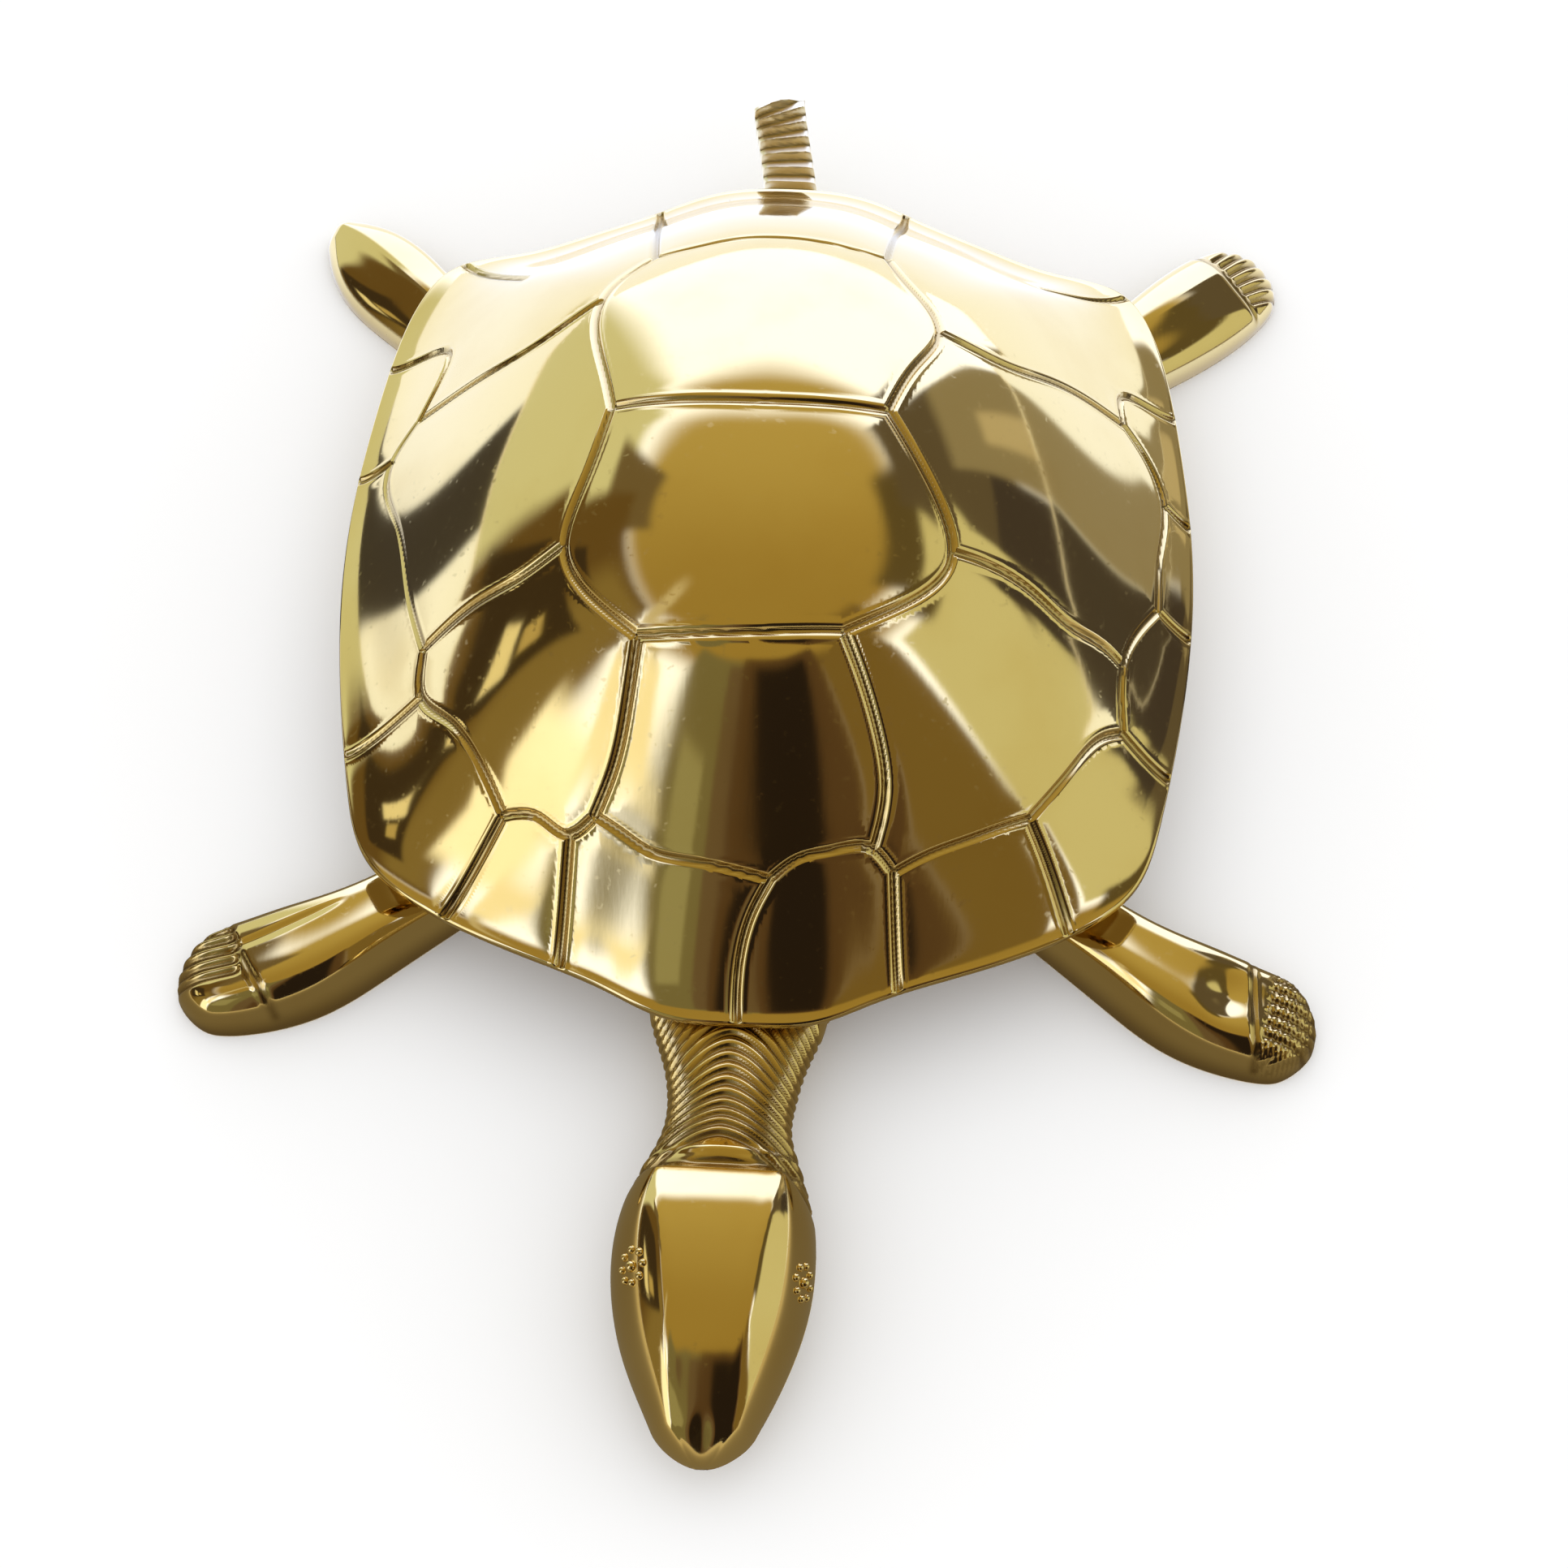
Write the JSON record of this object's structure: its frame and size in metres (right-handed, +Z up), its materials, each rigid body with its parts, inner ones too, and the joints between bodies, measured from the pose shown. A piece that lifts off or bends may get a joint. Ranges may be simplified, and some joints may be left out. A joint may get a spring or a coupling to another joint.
{
  "type": "turtle figurine",
  "caption": "Polished brass turtle figurine whose domed scute-patterned shell is a lid hinged at the tail over a shallow body tray, with cast legs, tail and head",
  "frame": {"origin": "middle of the whole length and width, on the surface the feet stand on", "axes": "+Z up, the head points along -Y and the tail along +Y, the turtle's own left is +X"},
  "size_m": [0.1635, 0.231, 0.0575],
  "materials": {
    "polished_brass": "mirror polished, lacquered, darker in the recesses",
    "cast_brass": "satin as-cast and brushed",
    "screw_steel": "plain zinc-plated"
  },
  "bodies": {
    "base": {"body_tray": "cast_brass", "head_and_neck": "polished_brass", "tail": "polished_brass", "hinge_pin": "cast_brass", "front_right_leg": "polished_brass", "front_left_leg": "polished_brass", "rear_right_leg": "polished_brass", "rear_left_leg": "polished_brass", "front_right_leg_outer_screw": "screw_steel", "front_right_leg_inner_screw": "screw_steel", "front_left_leg_outer_screw": "screw_steel", "front_left_leg_inner_screw": "screw_steel", "rear_right_leg_outer_screw": "screw_steel", "rear_right_leg_inner_screw": "screw_steel", "rear_left_leg_outer_screw": "screw_steel", "rear_left_leg_inner_screw": "screw_steel", "neck_front_screw": "screw_steel", "neck_rear_screw": "screw_steel", "tail_screw": "screw_steel"},
    "lid": {"shell": "polished_brass"}
  },
  "joints": [
    {"name": "shell_hinge", "type": "hinge", "parent": "base", "child": "lid", "pos_m": [0, 0.0875, 0.012], "axis": [-1, 0, 0], "range_deg": [0, 70]}
  ]
}
